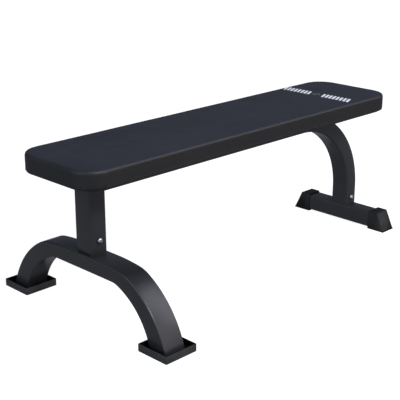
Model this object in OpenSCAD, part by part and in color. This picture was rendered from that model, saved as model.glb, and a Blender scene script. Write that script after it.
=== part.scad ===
// Flat weight bench: a padded board on a bent steel spine, with an arched front foot
// and a straight rear stabiliser. Millimetres, +Z up, +X towards the rear foot.
// The origin is on the floor, under the middle of the bench's outline.

/* [Pad] */
// Length of the pad
pad_l = 1120; // [1000:5:1250]
// Width of the pad
pad_w = 268; // [240:1:300]
// Thickness of the pad
pad_t = 47.5; // [42:0.5:60]
// Height of the pad's top above the floor
seat_h = 411; // [395:1:440]
// Radius of the pad's corners in plan
pad_corner = 60; // [40:1:80]
// Rounding of the pad's upper edge
pad_top_round = 7.5; // [6:0.5:14]
// Rounding of the pad's lower edge
pad_low_round = 5.5; // [4:0.5:8]
// Thickness of the upholstery cover
cover_t = 1.2; // [0.8:0.1:1.5]
// Thickness of the plywood board
board_t = 12; // [9:1:15]

/* [Spine tube] */
// Width of the spine tube, across the bench
spine_w = 55.5; // [50:0.5:57]
// Depth of the spine tube, in the plane of its bend
spine_d = 46; // [42:0.5:50]
// Wall of the steel tubes
wall = 2.5; // [2:0.1:3]
// Corner radius of the spine tube
tube_round = 5; // [4:0.5:6]
// Corner radius of the tubes of the two feet
foot_round = 3.2; // [3:0.1:5]
// Inner radius of the spine's bend
bend_r = 214.5; // [190:0.5:230]
// Distance from the pad's middle back to the rear leg
leg_x = 536.5; // [525:0.5:545]

/* [Front foot] */
// Distance from the pad's middle forward to the front post
post_x = 450; // [430:1:470]
// Width of the front post, across the bench
post_w = 61.5; // [60:0.5:64]
// Depth of the front post, along the bench
post_d = 47; // [44:0.5:50]
// Corner radius of the front post
post_round = 7; // [5:0.5:8]
// Height of the arch's top above the floor
arch_h = 167.5; // [162:0.5:172]
// Height of the arch's underside above the floor
arch_low = 129.5; // [126:0.5:132]
// Width of the arch tube, along the bench
arch_w = 60.5; // [58:0.5:64]
// Distance from the bench's middle out to each front cup
cup_y = 257.5; // [256:0.5:260]
// Side of the square front cups
cup_s = 94; // [90:0.5:98]
// Height of the front cups
cup_h = 18.5; // [15:0.5:20]

/* [Rear foot] */
// Side of the square stabiliser tube
stab_s = 46.5; // [44:0.5:47]
// Height of the stabiliser's underside above the floor
stab_z = 4.5; // [4:0.5:6]
// Length of the stabiliser tube
stab_l = 274; // [260:1:280]
// Height of the rubber end caps
cap_h = 54.5; // [52:0.5:56]
// Width of the end caps at the floor
cap_w = 52; // [52:0.5:56]
// Distance from the bench's middle to the inner end of a cap
cap_in = 112; // [100:1:115]
// Distance from the bench's middle to the outer toe of a cap
cap_out = 168; // [165:1:175]

/* [Hidden] */

eps = 0.01;
vinyl = [0.16, 0.17, 0.21];
steel_black = [0.17, 0.18, 0.19];
rubber = [0.10, 0.10, 0.11];
zinc = [0.72, 0.73, 0.75];

// The pad's middle lies a little ahead of the origin, because the rear caps reach past it.
pad_x = -(leg_x + cap_w / 2 - pad_l / 2) / 2;
post_cx = pad_x - post_x;
leg_cx = pad_x + leg_x;
pad_z = seat_h - pad_t;

// Spine: the straight run under the pad, the bend, and the rear leg.
spine_low = pad_z - spine_d;
bend_cx = leg_cx - spine_d / 2 - bend_r;
bend_cz = spine_low - bend_r;
spine_front = post_cx + post_d / 2;
stab_top = stab_z + stab_s;

// Arch: each side is a flat, then arcs, given as [length, turn in degrees], and a leg arc.
arch_out = [[61, 0], [78, 8], [28, 20]];
arch_in = [[105.5, 0], [13.5, 19]];
arch_out_r = 242;
arch_in_r = 173.5;
arch_foot_z = 4;
arch_steps = 20;
corner_steps = 2;

// Gaps and fasteners
spigot_gap = 0.4;
spigot_up = 62;
post_lift = 3.5;
top_flange = 2.5;
m8 = 8;
hole_d = 9;
bolt_front_z = 203.5;
bolt_rear_z = 73;
head_d = 14;
head_h = 4.4;
hex_af = 5;
hex_deep = 2.6;
washer_d = 20;
washer_t = 1.6;
nut_af = 13;
nut_h = 8;
bracket_xs = [-330, 205];
bracket_l = 40;
bracket_reach = 62;
bracket_t = 4;
bracket_drop = 30;
bracket_hole_y = 64;
board_inset = 8;
margin = 30;
backing_gap = 0.3;
tee_d = 20;
tee_t = 1.5;
tee_barrel_d = 10;
cup_base = 4;
cup_wall = 3;
plug_h = 20;
screw_d = 5;
screw_l = 17;
cap_lip = 3;

// ---------- shared shapes ----------

module rounded_rect(w, h, r) {
    union() {
        square([w - 2 * r, h], center = true);
        square([w, h - 2 * r], center = true);
        for (x = [-1, 1], y = [-1, 1])
            translate([x * (w / 2 - r), y * (h / 2 - r)]) circle(r = r, $fn = 32);
    }
}

module tube_section(w, h, r, t) {
    difference() {
        rounded_rect(w, h, r);
        rounded_rect(w - 2 * t, h - 2 * t, r - t);
    }
}

// Cylinder along Y, from y0 to y1
module y_rod(x, z, d, y0, y1, sides = 32) {
    translate([x, y1, z]) rotate([90, 0, 0]) cylinder(d = d, h = y1 - y0, $fn = sides);
}

// Corner puck of a pad block: a disc with rounded upper and lower edges
module puck(h, r, top, low, steps = 6) {
    rotate_extrude($fn = 56)
        polygon(concat(
            [[0, 0]],
            [for (i = [0:steps]) let(a = 90 * i / steps)
                [r - low + low * sin(a), low - low * cos(a)]],
            [for (i = [0:steps]) let(a = 90 * i / steps)
                [r - top + top * cos(a), h - top + top * sin(a)]],
            [[0, h]]));
}

module pad_block(inset) {
    r = pad_corner - inset;
    translate([pad_x, 0, pad_z + inset])
        hull()
            for (x = [-1, 1], y = [-1, 1])
                translate([x * (pad_l / 2 - pad_corner), y * (pad_w / 2 - pad_corner), 0])
                    puck(pad_t - 2 * inset, r, pad_top_round - inset, pad_low_round - inset);
}

// The pad's outline in plan, drawn in by a distance
module pad_outline(inset) {
    translate([pad_x, 0])
        rounded_rect(pad_l - 2 * inset, pad_w - 2 * inset, pad_corner - inset);
}

module at_pad_bolts() {
    for (x = bracket_xs, y = [-1, 1])
        translate([pad_x + x, y * bracket_hole_y, 0]) children();
}

function rad(a) = a * PI / 180;

// Point on an arc or a line: start, heading below the horizontal, length, turn, distance along
function arc_point(p, a, len, turn, s) =
    turn == 0
        ? [p[0] + s * cos(a), p[1] - s * sin(a)]
        : let(r = len / rad(turn), b = a + turn * s / len)
            [p[0] + r * (sin(b) - sin(a)), p[1] + r * (cos(b) - cos(a))];

// Point at distance s along a chain of [length, turn] pieces
function walk(p, a, chain, s, i = 0) =
    i == len(chain) - 1 || s <= chain[i][0]
        ? arc_point(p, a, chain[i][0], chain[i][1], s)
        : walk(arc_point(p, a, chain[i][0], chain[i][1], chain[i][0]),
            a + chain[i][1], chain, s - chain[i][0], i + 1);

function total(chain, k, i = 0) = i == len(chain) ? 0 : chain[i][k] + total(chain, k, i + 1);

// Turn of a leg's arc of radius r that starts at height z with heading a and ends at the foot
function leg_turn(z, a, r) = acos(cos(a) - (z - arch_foot_z) / r) - a;

// A chain with the leg's arc added at its end
function with_leg(top, chain, r) =
    let(a = total(chain, 1), z = walk([0, top], 0, chain, total(chain, 0))[1],
        t = leg_turn(z, a, r))
        concat(chain, [[r * rad(t), t]]);

out_top = arch_h;
in_top = arch_low;
out_chain = with_leg(out_top, arch_out, arch_out_r);
in_chain = with_leg(in_top, arch_in, arch_in_r);

// Outer and inner points of the arch at the fraction f from the middle (0) to a foot (1)
function arch_pair(f) =
    [walk([0, out_top], 0, out_chain, f * total(out_chain, 0)),
        walk([0, in_top], 0, in_chain, f * total(in_chain, 0))];

// Corner points of a rounded section, w along X and h along the second axis
function section(w, h, r) =
    [for (c = [[1, 1, 0], [-1, 1, 90], [-1, -1, 180], [1, -1, 270]], k = [0:corner_steps])
        let(a = c[2] + 90 * k / corner_steps)
            [c[0] * (w / 2 - r) + r * cos(a), c[1] * (h / 2 - r) + r * sin(a)]];

// Section ring of the arch at the fraction f, drawn in by a distance, on the side g (1 or -1)
function arch_ring(f, g, inset) =
    let(pair = arch_pair(f), mid = (pair[0] + pair[1]) / 2, d = pair[0] - pair[1],
        h = norm(d), u = d / h)
        [for (q = section(arch_w - 2 * inset, h - 2 * inset, foot_round - inset))
            [post_cx + q[0], g * (mid[0] + u[0] * q[1]), mid[1] + u[1] * q[1]]];

// Triangles between consecutive rings of n points, and across the two ends
function ring_faces(rings, n, base, flip) =
    [for (i = [0:rings - 2], j = [0:n - 1])
        let(a = base + i * n + j, b = base + i * n + (j + 1) % n, c = b + n, d = a + n)
            each flip ? [[a, b, c], [a, c, d]] : [[a, c, b], [a, d, c]]];

function end_faces(n, a0, b0, flip) =
    [for (j = [0:n - 1])
        let(k = (j + 1) % n)
            each flip
                ? [[a0 + j, b0 + k, a0 + k], [a0 + j, b0 + j, b0 + k]]
                : [[a0 + j, a0 + k, b0 + k], [a0 + j, b0 + k, b0 + j]]];

// Distance from the middle of a leg arc's point at height z, for a chain and its radius
function leg_y(top, chain, r, z) =
    let(a = total(chain, 1), p = walk([0, top], 0, chain, total(chain, 0)))
        p[0] + r * (sin(acos(cos(a) - (p[1] - z) / r)) - sin(a));

// ---------- pad ----------

module pad_cover() {
    color(vinyl)
        difference() {
            pad_block(0);
            pad_block(cover_t);
            translate([0, 0, pad_z - 1])
                linear_extrude(cover_t + 1 + eps) pad_outline(margin);
        }
}

module pad_foam() {
    color([0.85, 0.82, 0.62])
        difference() {
            pad_block(cover_t);
            translate([0, 0, pad_z - 1])
                linear_extrude(1 + cover_t + board_t) pad_outline(board_inset);
            at_pad_bolts()
                translate([0, 0, pad_z + cover_t + board_t - 1])
                    cylinder(d = tee_d + 0.4, h = tee_t + 1.2, $fn = 32);
        }
}

module pad_board() {
    color([0.76, 0.62, 0.42])
        translate([0, 0, pad_z + cover_t])
            linear_extrude(board_t)
                difference() {
                    pad_outline(board_inset);
                    at_pad_bolts() circle(d = tee_barrel_d + 0.2, $fn = 32);
                }
}

module pad_backing() {
    color([0.08, 0.08, 0.09])
        translate([0, 0, pad_z])
            linear_extrude(cover_t)
                difference() {
                    pad_outline(margin + backing_gap);
                    at_pad_bolts() circle(d = tee_barrel_d + 2, $fn = 32);
                }
}

// Staple crowns that hold the cover's turned-in margin to the board
module cover_staples() {
    crown = [11, 1.1, 0.6];
    long_n = 17;
    end_n = 3;
    pitch = 58;
    in_y = pad_w / 2 - 20;
    in_x = pad_l / 2 - 20;
    color(zinc)
        translate([pad_x, 0, pad_z - crown[2] / 2]) {
            for (i = [-(long_n - 1) / 2:(long_n - 1) / 2], s = [-1, 1])
                translate([i * pitch, s * in_y, 0]) cube(crown, center = true);
            for (i = [-(end_n - 1) / 2:(end_n - 1) / 2], s = [-1, 1])
                translate([s * in_x, i * pitch, 0]) rotate(90) cube(crown, center = true);
        }
}

module tee_nuts() {
    barrel = 10;
    color(zinc)
        at_pad_bolts()
            translate([0, 0, pad_z + cover_t + board_t])
                difference() {
                    union() {
                        cylinder(d = tee_d, h = tee_t, $fn = 32);
                        translate([0, 0, -barrel]) cylinder(d = tee_barrel_d, h = barrel + eps, $fn = 32);
                    }
                    translate([0, 0, -barrel - 1])
                        cylinder(d = m8 + 0.1, h = barrel + tee_t + 2, $fn = 32);
                }
}

module pad_bolts() {
    head = 5.3;
    shank = 17;
    color(zinc)
        at_pad_bolts()
            translate([0, 0, pad_z - bracket_t - washer_t]) {
                translate([0, 0, -head]) cylinder(d = nut_af / cos(30), h = head, $fn = 6);
                translate([0, 0, -eps]) cylinder(d = m8, h = shank, $fn = 32);
            }
}

module pad_bolt_washers() {
    color(zinc)
        at_pad_bolts()
            translate([0, 0, pad_z - bracket_t - washer_t])
                difference() {
                    cylinder(d = washer_d, h = washer_t, $fn = 32);
                    translate([0, 0, -1]) cylinder(d = m8 + 0.4, h = washer_t + 2, $fn = 32);
                }
}

// ---------- frame ----------

// Angle bracket on one side (s = 1 or -1) of the spine, at x from the pad's middle
module pad_bracket(x, s) {
    color(steel_black)
        translate([pad_x + x, s * spine_w / 2, pad_z])
            mirror([0, s < 0 ? 1 : 0, 0])
                difference() {
                    union() {
                        translate([-bracket_l / 2, 0, -bracket_t])
                            cube([bracket_l, bracket_reach, bracket_t]);
                        translate([-bracket_l / 2, 0, -bracket_drop])
                            cube([bracket_l, bracket_t, bracket_drop]);
                    }
                    translate([0, bracket_hole_y - spine_w / 2, -bracket_t - 1])
                        cylinder(d = hole_d, h = bracket_t + 2, $fn = 32);
                }
}

module spine_tube() {
    centre_r = bend_r + spine_d / 2;
    color(steel_black)
        difference() {
            union() {
                translate([spine_front, 0, spine_low + spine_d / 2])
                    rotate([90, 0, 90])
                        linear_extrude(bend_cx - spine_front)
                            tube_section(spine_w, spine_d, tube_round, wall);
                translate([bend_cx, 0, bend_cz])
                    rotate([90, 0, 0])
                        rotate_extrude(angle = 90, $fn = 160)
                            translate([centre_r, 0])
                                tube_section(spine_d, spine_w, tube_round, wall);
                translate([leg_cx, 0, stab_top])
                    linear_extrude(bend_cz - stab_top)
                        tube_section(spine_d, spine_w, tube_round, wall);
            }
            y_rod(leg_cx, bolt_rear_z, hole_d, -spine_w, spine_w);
        }
}

// Front post: it rises from just above the arch to the plug under the pad
module front_post() {
    low = arch_h + post_lift;
    high = pad_z - top_flange;
    color(steel_black)
        difference() {
            translate([post_cx, 0, low])
                linear_extrude(high - low)
                    tube_section(post_d, post_w, post_round, wall);
            y_rod(post_cx, bolt_front_z, hole_d, -post_w, post_w);
        }
}

// Moulded insert that closes the post's top
module post_top_plug() {
    depth = 22;
    fit = 0.3;
    color(rubber)
        translate([post_cx, 0, pad_z - top_flange]) {
            linear_extrude(top_flange) rounded_rect(post_d, post_w, post_round);
            translate([0, 0, -depth])
                linear_extrude(depth)
                    tube_section(post_d - 2 * (wall + fit), post_w - 2 * (wall + fit),
                        post_round - wall, wall / 2);
        }
}

// Triangular fillet of weld, side s, along the X axis for a length, rising from the floor plane
module bead(len, s) {
    translate([-len / 2, 0, 0])
        rotate([90, 0, 90])
            linear_extrude(len)
                polygon([[0, 0], [s, 0], [0, s]]);
}

module weld_beads() {
    s = 4;
    foot_s = 3;
    spigot_w = post_w - 2 * (wall + spigot_gap);
    spigot_d = post_d - 2 * (wall + spigot_gap);
    color(steel_black) {
        // post to spine: under the spine, and up its sides where the post's corners round off
        translate([spine_front, 0, spine_low])
            rotate([180, 0, 90]) bead(spine_w - 2 * tube_round, s);
        for (g = [0, 1])
            mirror([0, g, 0])
                translate([post_cx, 0, spine_low + tube_round])
                    linear_extrude(spine_d - 2 * tube_round)
                        difference() {
                            polygon([[post_d / 2 - post_round, spine_w / 2],
                                [post_d / 2 + s, spine_w / 2],
                                [post_d / 2 - s, post_w / 2 - 0.5]]);
                            rounded_rect(post_d, post_w, post_round);
                        }
        // spigot to arch, inside the post's lower end
        for (g = [0, 180])
            translate([post_cx, 0, arch_h])
                rotate(g) {
                    translate([0, spigot_w / 2, 0]) bead(spigot_d - 6, foot_s - 0.2);
                    translate([spigot_d / 2, 0, 0]) rotate(-90) bead(spigot_w - 6, foot_s - 0.2);
                }
        // brackets to the spine's sides
        for (x = bracket_xs, g = [0, 180])
            rotate(g)
                translate([(g == 0 ? 1 : -1) * (pad_x + x), spine_w / 2, pad_z - bracket_drop])
                    rotate([-90, 0, 0]) bead(bracket_l, bracket_t - 0.5);
    }
}

// ---------- front foot ----------

module front_arch_foot() {
    n = 4 * (corner_steps + 1);
    steps = [for (i = [-arch_steps:arch_steps]) i / arch_steps];
    rings = len(steps);
    outer = [for (f = steps) each arch_ring(abs(f), f < 0 ? -1 : 1, 0)];
    inner = [for (f = steps) each arch_ring(abs(f), f < 0 ? -1 : 1, wall)];
    last = (rings - 1) * n;
    m = rings * n;
    color(steel_black)
        polyhedron(
            points = concat(outer, inner),
            faces = concat(
                ring_faces(rings, n, 0, false),
                ring_faces(rings, n, m, true),
                end_faces(n, 0, m, false),
                end_faces(n, last, m + last, true)),
            convexity = 8);
}

// Stub tube on the arch that the front post slides over
module front_spigot() {
    w = post_w - 2 * (wall + spigot_gap);
    d = post_d - 2 * (wall + spigot_gap);
    color(steel_black)
        difference() {
            translate([post_cx, 0, arch_h])
                linear_extrude(spigot_up) tube_section(d, w, post_round - wall + 0.5, wall);
            y_rod(post_cx, bolt_front_z, hole_d, -post_w, post_w);
        }
}

// Tapered insert in a leg's open end; its sides follow the leg's arcs
module arch_plug(s) {
    fit = 0.5;
    skin = 1;
    slope = wall * 1.08 + fit;
    color(rubber)
        difference() {
            hull()
                for (z = [arch_foot_z, arch_foot_z + plug_h - skin]) {
                    y0 = leg_y(in_top, arch_in, arch_in_r, z) + slope;
                    y1 = leg_y(out_top, arch_out, arch_out_r, z + skin) - slope;
                    w = arch_w - 2 * (wall + fit);
                    translate([post_cx - w / 2, s > 0 ? y0 : -y1, z]) cube([w, y1 - y0, skin]);
                }
            translate([post_cx, s * cup_y, arch_foot_z - 1])
                cylinder(d = screw_d - 0.2, h = plug_h + 2, $fn = 32);
        }
}

// Square tray of moulded rubber that a leg stands in
module front_cup(s) {
    color(rubber)
        translate([post_cx, s * cup_y, 0])
            difference() {
                linear_extrude(cup_h) rounded_rect(cup_s, cup_s, 3);
                translate([0, 0, cup_base])
                    linear_extrude(cup_h) rounded_rect(cup_s - 2 * cup_wall, cup_s - 2 * cup_wall, 2);
                translate([0, 0, -1]) cylinder(d = screw_d + 0.4, h = cup_base + 2, $fn = 32);
                translate([0, 0, -eps]) cylinder(d1 = 11, d2 = screw_d + 0.4, h = 2.8, $fn = 32);
            }
}

module cup_screws() {
    sink = 0.3;
    head = 2.3;
    color(zinc)
        for (s = [-1, 1])
            translate([post_cx, s * cup_y, sink])
                difference() {
                    union() {
                        cylinder(d1 = 9.6, d2 = screw_d - 0.4, h = head, $fn = 32);
                        translate([0, 0, head - eps])
                            cylinder(d = screw_d - 0.4, h = screw_l - head, $fn = 32);
                    }
                    for (a = [0, 90])
                        rotate(a) translate([-2.5, -0.5, -1]) cube([5, 1, 2]);
                }
}

// ---------- rear foot ----------

module rear_spigot() {
    w = spine_w - 2 * (wall + spigot_gap);
    d = spine_d - 2 * (wall + spigot_gap);
    color(steel_black)
        difference() {
            translate([leg_cx, 0, stab_top])
                linear_extrude(spigot_up) tube_section(d, w, tube_round - wall + 0.5, wall);
            y_rod(leg_cx, bolt_rear_z, hole_d, -spine_w, spine_w);
        }
}

module rear_stabiliser() {
    color(steel_black)
        translate([leg_cx, stab_l / 2, stab_z + stab_s / 2])
            rotate([90, 0, 0])
                linear_extrude(stab_l) tube_section(stab_s, stab_s, foot_round, wall);
}

// Rubber cap over one end of the stabiliser, with a sloping outer face and a lip at the floor
module rear_cap(s) {
    toe = cap_out - 1.2;
    top_out = 142.5;
    top_w = cap_w - 2.5;
    body_w = cap_w - 1.2;
    color(rubber)
        translate([leg_cx, 0, 0])
            mirror([0, s < 0 ? 1 : 0, 0])
                difference() {
                    union() {
                        intersection() {
                            translate([-cap_w, 0, 0])
                                rotate([90, 0, 90])
                                    linear_extrude(2 * cap_w)
                                        polygon([[cap_in, 0], [toe, 0], [toe, cap_lip],
                                            [top_out, cap_h], [cap_in, cap_h]]);
                            translate([0, cap_out, 0])
                                rotate([90, 0, 0])
                                    linear_extrude(cap_out)
                                        polygon([[-body_w / 2, 0], [body_w / 2, 0],
                                            [top_w / 2, cap_h], [-top_w / 2, cap_h]]);
                        }
                        translate([-cap_w / 2, cap_in, 0])
                            cube([cap_w, cap_out - cap_in, cap_lip]);
                    }
                    translate([0, stab_l / 2, stab_z + stab_s / 2])
                        rotate([90, 0, 0])
                            linear_extrude(stab_l / 2) rounded_rect(stab_s, stab_s, foot_round);
                }
}

// ---------- foot bolts ----------

// Button head: a dome over a flat seat
module button_head() {
    top_d = 7;
    steps = 6;
    start = acos(top_d / head_d);
    dome = (head_h - 0.6) / sin(start);
    rotate_extrude($fn = 48)
        polygon(concat(
            [[0, 0], [head_d / 2, 0]],
            [for (i = [0:steps]) let(a = start * i / steps)
                [head_d / 2 * cos(a), 0.6 + dome * sin(a)]],
            [[0, head_h]]));
}

// Button-head bolt along Y through a tube of width w, with its head on the -Y side
module foot_bolt(x, z, w) {
    face = w / 2 + washer_t;
    tip = w / 2 + washer_t + nut_h + 2;
    color(zinc)
        difference() {
            union() {
                translate([x, -face, z]) rotate([90, 0, 0]) button_head();
                y_rod(x, z, m8, -face - eps, tip);
            }
            y_rod(x, z, hex_af / cos(30), -face - head_h - 1, -face - head_h + hex_deep, 6);
        }
}

module front_foot_bolt() {
    foot_bolt(post_cx, bolt_front_z, post_w);
}

module rear_foot_bolt() {
    foot_bolt(leg_cx, bolt_rear_z, spine_w);
}

// One [x, z, width of the tube] for each foot bolt
bolted = [[post_cx, bolt_front_z, post_w], [leg_cx, bolt_rear_z, spine_w]];

module foot_bolt_washers() {
    color(rubber)
        for (b = bolted, s = [-1, 1])
            difference() {
                y_rod(b[0], b[1], washer_d, s > 0 ? b[2] / 2 : -b[2] / 2 - washer_t,
                    s > 0 ? b[2] / 2 + washer_t : -b[2] / 2);
                y_rod(b[0], b[1], m8 + 0.4, -b[2], b[2]);
            }
}

module foot_bolt_nuts() {
    color(zinc)
        for (b = bolted)
            difference() {
                y_rod(b[0], b[1], nut_af / cos(30), b[2] / 2 + washer_t,
                    b[2] / 2 + washer_t + nut_h, 6);
                y_rod(b[0], b[1], m8 + 0.1, 0, b[2]);
            }
}

pad_cover();
pad_foam();
pad_board();
pad_backing();
cover_staples();
tee_nuts();
pad_bolts();
pad_bolt_washers();
pad_bracket(bracket_xs[0], 1);  // pad_bracket_front_left
pad_bracket(bracket_xs[0], -1);  // pad_bracket_front_right
pad_bracket(bracket_xs[1], 1);  // pad_bracket_rear_left
pad_bracket(bracket_xs[1], -1);  // pad_bracket_rear_right
spine_tube();
front_post();
post_top_plug();
weld_beads();
front_arch_foot();
front_spigot();
arch_plug(1);  // arch_plug_left
arch_plug(-1);  // arch_plug_right
front_cup(1);  // front_cup_left
front_cup(-1);  // front_cup_right
cup_screws();
front_foot_bolt();
rear_foot_bolt();
foot_bolt_washers();
foot_bolt_nuts();
rear_spigot();
rear_stabiliser();
rear_cap(1);  // rear_cap_left
rear_cap(-1);  // rear_cap_right
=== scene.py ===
import math

import bmesh
import bpy
import numpy as np
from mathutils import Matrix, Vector, noise
from mathutils.bvhtree import BVHTree


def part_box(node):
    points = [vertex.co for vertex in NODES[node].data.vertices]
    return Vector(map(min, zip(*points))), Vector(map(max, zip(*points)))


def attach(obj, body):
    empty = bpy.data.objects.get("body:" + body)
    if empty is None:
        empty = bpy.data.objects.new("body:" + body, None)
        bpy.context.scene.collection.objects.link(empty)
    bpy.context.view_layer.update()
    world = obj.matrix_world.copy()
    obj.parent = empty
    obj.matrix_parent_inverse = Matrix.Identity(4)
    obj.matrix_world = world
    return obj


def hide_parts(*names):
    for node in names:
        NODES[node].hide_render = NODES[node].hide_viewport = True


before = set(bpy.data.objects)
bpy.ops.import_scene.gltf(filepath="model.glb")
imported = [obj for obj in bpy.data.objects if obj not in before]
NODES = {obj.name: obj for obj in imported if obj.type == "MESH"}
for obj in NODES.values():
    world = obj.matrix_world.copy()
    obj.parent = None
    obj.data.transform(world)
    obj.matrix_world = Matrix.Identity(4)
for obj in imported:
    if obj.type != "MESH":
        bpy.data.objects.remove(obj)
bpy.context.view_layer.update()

MM = 0.001

# ---------- sizes that the boxes of the nodes don't give ----------

PAD_CORNER = 60 * MM
PAD_TOP_ROUND = 7.5 * MM
PAD_LOW_ROUND = 5.5 * MM
COVER_MARGIN = 30 * MM
WALL = 2.5 * MM
TUBE_ROUND = 5 * MM     # corners of the spine tube
FOOT_ROUND = 3.2 * MM   # corners of the tubes of the two feet
POST_ROUND = 7 * MM
SPINE_DEPTH = 46 * MM
BEND_RADIUS = 214.5 * MM
ARCH_LOW = 129.5 * MM
ARCH_FOOT = 4 * MM
CUP_BASE = 4 * MM
CUP_WALL = 3 * MM

# Half of the arch: runs of (length, turn in degrees), and then the leg's arc of this radius
ARCH_OUTER = ((61 * MM, 0), (78 * MM, 8), (28 * MM, 20))
ARCH_INNER = ((105.5 * MM, 0), (13.5 * MM, 19))
ARCH_OUTER_RADIUS = 242 * MM
ARCH_INNER_RADIUS = 173.5 * MM

pad_low, pad_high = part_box("pad_cover")
post_low, post_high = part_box("front_post")
spine_low, spine_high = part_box("spine_tube")
arch_low, arch_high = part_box("front_arch_foot")
stab_low, stab_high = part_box("rear_stabiliser")

PAD_X = (pad_low.x + pad_high.x) / 2
POST_X = (post_low.x + post_high.x) / 2
LEG_X = (stab_low.x + stab_high.x) / 2


# ---------- camera ----------

CAMERA_YAW = math.radians(44.92)
CAMERA_PITCH = math.radians(18.92)
CAMERA_LENS = 87.42
CAMERA_AIM = Vector((-0.1055, -0.0161, 0.2155))
CAMERA_AWAY = 2.5
SENSOR_WIDTH = 36.0


def make_camera():
    forward = Vector((
        math.cos(CAMERA_PITCH) * math.cos(CAMERA_YAW),
        math.cos(CAMERA_PITCH) * math.sin(CAMERA_YAW),
        -math.sin(CAMERA_PITCH),
    ))
    data = bpy.data.cameras.new("camera")
    data.sensor_width = SENSOR_WIDTH
    data.lens = CAMERA_LENS
    camera = bpy.data.objects.new("camera", data)
    camera.location = CAMERA_AIM - forward * CAMERA_AWAY
    camera.rotation_mode = "QUATERNION"
    camera.rotation_quaternion = forward.to_track_quat("-Z", "Y")
    bpy.context.scene.collection.objects.link(camera)
    bpy.context.scene.camera = camera


# ---------- material helpers ----------


class Shader:
    """A material's node tree, with short calls for the nodes that the finishes share.

    The colour and the roughness given first are the finish's mean, which nodes then vary.
    """

    def __init__(self, name, colour, roughness, metallic=0.0, specular=0.5):
        self.material = bpy.data.materials.new(name)
        self.material.use_nodes = True
        self.tree = self.material.node_tree
        self.surface = self.tree.nodes["Principled BSDF"]
        self.surface.inputs["Base Color"].default_value = (*colour, 1)
        self.surface.inputs["Roughness"].default_value = roughness
        self.surface.inputs["Metallic"].default_value = metallic
        self.surface.inputs["Specular IOR Level"].default_value = specular
        self.place = self.tree.nodes.new("ShaderNodeTexCoord").outputs["Object"]
        self.normal = None

    def node(self, kind, **values):
        made = self.tree.nodes.new("ShaderNode" + kind)
        for key, value in values.items():
            setattr(made, key, value)
        return made

    def feed(self, socket, target):
        self.tree.links.new(socket, target)

    def stretched(self, scale):
        made = self.node("Mapping")
        made.inputs["Scale"].default_value = scale
        self.feed(self.place, made.inputs["Vector"])
        return made.outputs["Vector"]

    def noise(self, scale, detail=3.0, rough=0.5, place=None):
        made = self.node("TexNoise")
        made.inputs["Scale"].default_value = scale
        made.inputs["Detail"].default_value = detail
        made.inputs["Roughness"].default_value = rough
        self.feed(place or self.place, made.inputs["Vector"])
        return made.outputs["Fac"]

    def cells(self, scale, feature="F1", place=None):
        made = self.node("TexVoronoi", feature=feature)
        made.inputs["Scale"].default_value = scale
        self.feed(place or self.place, made.inputs["Vector"])
        return made.outputs["Distance"]

    def ramp(self, value, low, high, to_low, to_high):
        made = self.node("MapRange", clamp=True)
        self.feed(value, made.inputs["Value"])
        limits = {"From Min": low, "From Max": high, "To Min": to_low, "To Max": to_high}
        for name, number in limits.items():
            made.inputs[name].default_value = number
        return made.outputs["Result"]

    def mix(self, factor, first, second):
        """A colour between two colours, or sockets, by a factor."""
        made = self.node("Mix", data_type="RGBA")
        self.feed(factor, made.inputs[0])
        for socket, value in zip(made.inputs[6:8], (first, second)):
            if isinstance(value, tuple):
                socket.default_value = (*value, 1)
            else:
                self.feed(value, socket)
        return made.outputs[2]

    def math(self, operation, first, second):
        made = self.node("Math", operation=operation)
        for socket, value in zip(made.inputs, (first, second)):
            if isinstance(value, (int, float)):
                socket.default_value = value
            else:
                self.feed(value, socket)
        return made.outputs[0]

    def bump(self, height, depth, strength):
        """Relief from a height, over the relief that is already there."""
        made = self.node("Bump")
        made.inputs["Strength"].default_value = strength
        made.inputs["Distance"].default_value = depth
        self.feed(height, made.inputs["Height"])
        if self.normal:
            self.feed(self.normal, made.inputs["Normal"])
        self.normal = made.outputs["Normal"]
        self.feed(self.normal, self.surface.inputs["Normal"])

    def colour(self, socket):
        self.feed(socket, self.surface.inputs["Base Color"])

    def roughness(self, socket):
        self.feed(socket, self.surface.inputs["Roughness"])


# ---------- materials ----------


def vinyl():
    """Upholstery vinyl: pebbled grain, varying gloss, painted light in a lighter, bluer colour where it
    faces up, and painted shade on its sides.
    """
    s = Shader("vinyl", (0.017, 0.018, 0.026), 0.5, specular=0.3)
    mottle = s.ramp(s.noise(7, 4), 0.3, 0.7, 0, 1)
    # Painted light and shade: upper is a lighter, bluer colour for faces that point up; the sides' colour
    # is a painted shade about a third as bright.
    upper = s.mix(mottle, (0.0138, 0.0147, 0.0207), (0.0174, 0.0183, 0.0262))
    painted_shade_sides = s.mix(mottle, (0.0035, 0.0036, 0.0038), (0.0052, 0.0052, 0.0056))
    facing = s.node("SeparateXYZ")
    s.feed(s.node("NewGeometry").outputs["Normal"], facing.inputs[0])
    # Painted light: the colour goes from the shaded sides' colour to the lit top's as the face turns up.
    tone_blend = s.ramp(facing.outputs["Z"], 0.35, 0.97, 0, 1)
    s.colour(s.mix(tone_blend, painted_shade_sides, upper))
    s.roughness(s.ramp(s.noise(22, 5), 0.3, 0.7, 0.46, 0.56))
    warp = s.noise(160, 2)
    pebble = s.cells(720, "SMOOTH_F1")
    crease = s.cells(310, "DISTANCE_TO_EDGE")
    s.bump(s.ramp(crease, 0.0, 0.16, 0, 1), 0.00007, 0.5)
    s.bump(s.math("ADD", pebble, s.math("MULTIPLY", warp, 0.6)), 0.00009, 0.45)
    return s.material


def print_ink():
    """Screen-printed ink on the vinyl, a little broken by the grain."""
    s = Shader("print_ink", (0.62, 0.63, 0.66), 0.55, specular=0.35)
    worn = s.noise(900, 3)
    s.colour(s.mix(s.ramp(worn, 0.25, 0.42, 0, 1), (0.30, 0.31, 0.34), (0.66, 0.67, 0.70)))
    s.bump(s.cells(720, "SMOOTH_F1"), 0.00006, 0.5)
    return s.material


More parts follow.
